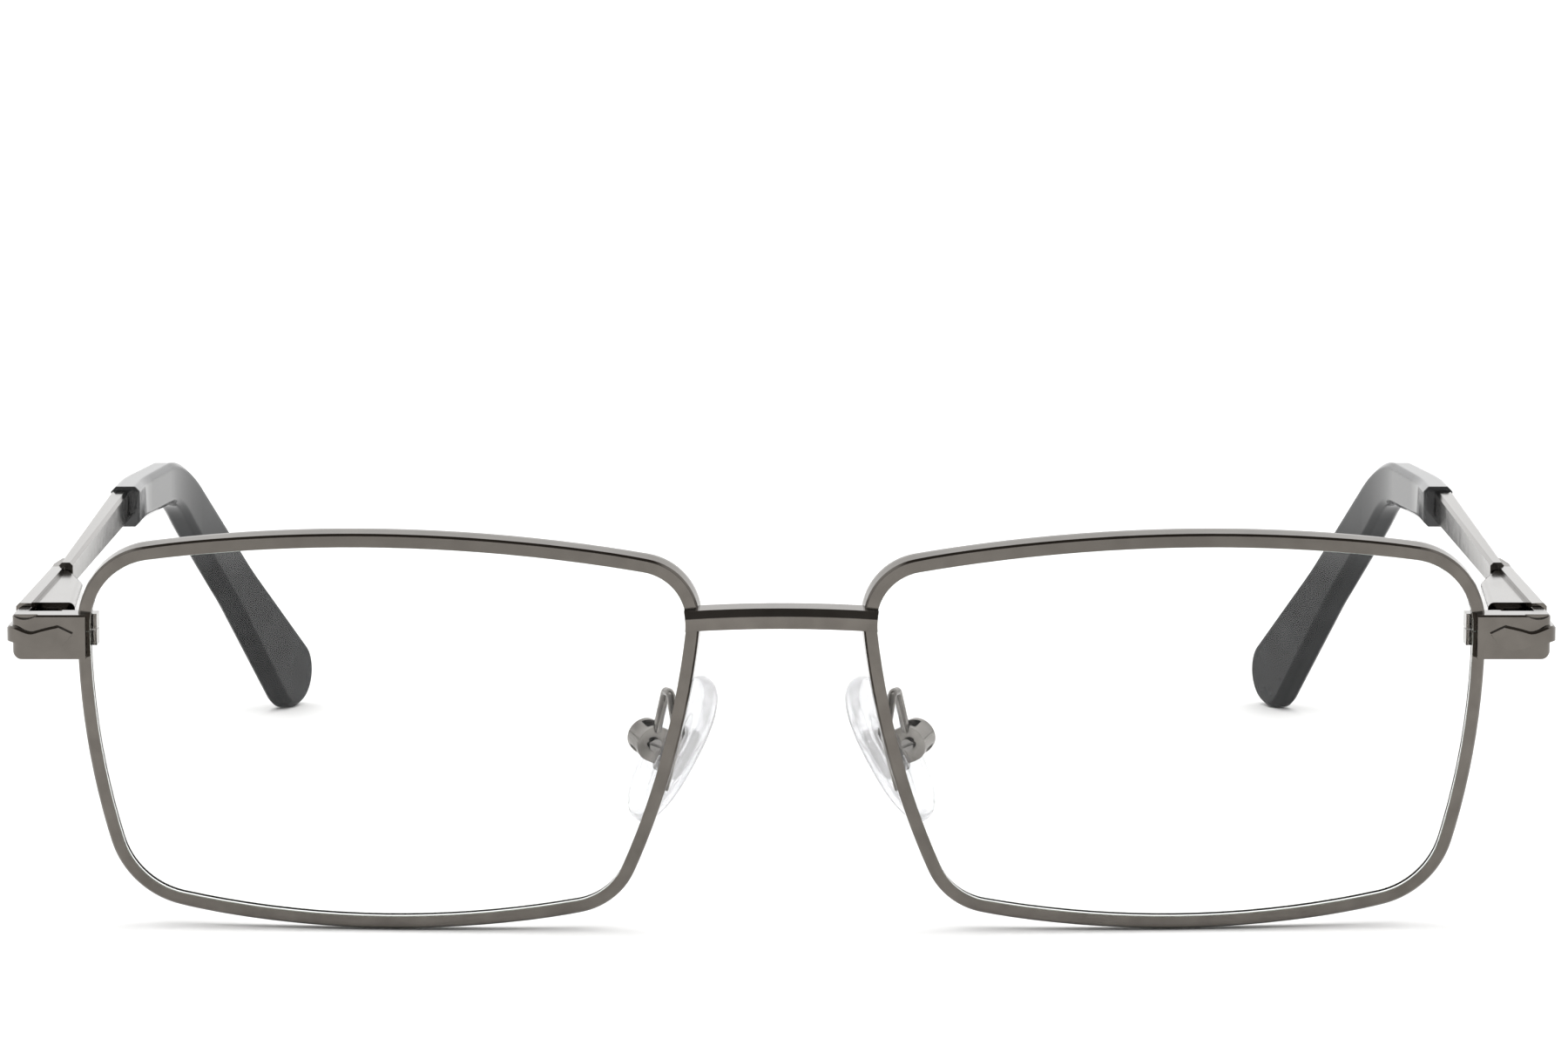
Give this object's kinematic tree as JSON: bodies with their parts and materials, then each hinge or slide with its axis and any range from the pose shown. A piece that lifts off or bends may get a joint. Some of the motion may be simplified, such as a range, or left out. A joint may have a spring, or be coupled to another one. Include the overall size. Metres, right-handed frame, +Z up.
{
  "type": "eyeglasses",
  "caption": "Rectangular full-rim metal eyeglasses with spring-hinged temples, rocking nose pads and plastic temple tips.",
  "frame": {"origin": "on the floor below the middle of the whole, the glasses open and standing on the rims and temple tips", "axes": "+X to the wearer's left, +Y towards the wearer's ears, +Z up"},
  "size_m": [0.1414, 0.1354, 0.0375],
  "materials": {
    "gunmetal": "polished",
    "steel": "gloss",
    "lens": "polished",
    "pad": "gloss",
    "tip": "satin"
  },
  "bodies": {
    "front": {"bridge": "gunmetal", "left_rim": "gunmetal", "left_lens": "lens", "left_end_piece": "gunmetal", "left_closing_block_lower": "gunmetal", "left_closing_block_upper": "gunmetal", "left_closing_screw": "steel", "left_hinge_leaf": "gunmetal", "left_hinge_screw": "steel", "left_nose_pad_box": "gunmetal", "left_nose_pad_screw": "steel", "left_nose_pad_arm": "gunmetal", "right_rim": "gunmetal", "right_lens": "lens", "right_end_piece": "gunmetal", "right_closing_block_lower": "gunmetal", "right_closing_block_upper": "gunmetal", "right_closing_screw": "steel", "right_hinge_leaf": "gunmetal", "right_hinge_screw": "steel", "right_nose_pad_box": "gunmetal", "right_nose_pad_screw": "steel", "right_nose_pad_arm": "gunmetal"},
    "left_pad": {"left_nose_pad": "pad", "left_nose_pad_insert": "steel"},
    "left_hinge_slide": {"left_hinge_slider": "steel", "left_spring_retainer": "steel"},
    "left_temple_arm": {"left_temple": "gunmetal", "left_hinge_housing": "gunmetal", "left_hinge_spring": "steel", "left_temple_tip": "tip"},
    "right_pad": {"right_nose_pad": "pad", "right_nose_pad_insert": "steel"},
    "right_hinge_slide": {"right_hinge_slider": "steel", "right_spring_retainer": "steel"},
    "right_temple_arm": {"right_temple": "gunmetal", "right_hinge_housing": "gunmetal", "right_hinge_spring": "steel", "right_temple_tip": "tip"}
  },
  "joints": [
    {"name": "left_fold", "type": "hinge", "parent": "front", "child": "left_hinge_slide", "pos_m": [0.06757, -0.05699, 0.02727], "axis": [0, 0, 1], "range_deg": [-5, 83]},
    {"name": "left_spring_flex", "type": "slide", "parent": "left_hinge_slide", "child": "left_temple_arm", "axis": [0, 1, 0], "range_m": [0, 0.0012], "stiffness_N_per_m": 2500, "springref_m": -0.0012, "deforming": ["left_hinge_spring"]},
    {"name": "left_pad_rock", "type": "hinge", "parent": "front", "child": "left_pad", "pos_m": [0.01226, -0.05724, 0.01675], "axis": [-0.4281, -0.8746, -0.2276], "range_deg": [-8, 8]},
    {"name": "right_fold", "type": "hinge", "parent": "front", "child": "right_hinge_slide", "pos_m": [-0.06757, -0.05699, 0.02727], "axis": [0, 0, -1], "range_deg": [-5, 73]},
    {"name": "right_spring_flex", "type": "slide", "parent": "right_hinge_slide", "child": "right_temple_arm", "axis": [0, 1, 0], "range_m": [0, 0.0012], "stiffness_N_per_m": 2500, "springref_m": -0.0012, "deforming": ["right_hinge_spring"]},
    {"name": "right_pad_rock", "type": "hinge", "parent": "front", "child": "right_pad", "pos_m": [-0.01226, -0.05724, 0.01675], "axis": [0.4281, -0.8746, -0.2276], "range_deg": [-8, 8]}
  ]
}
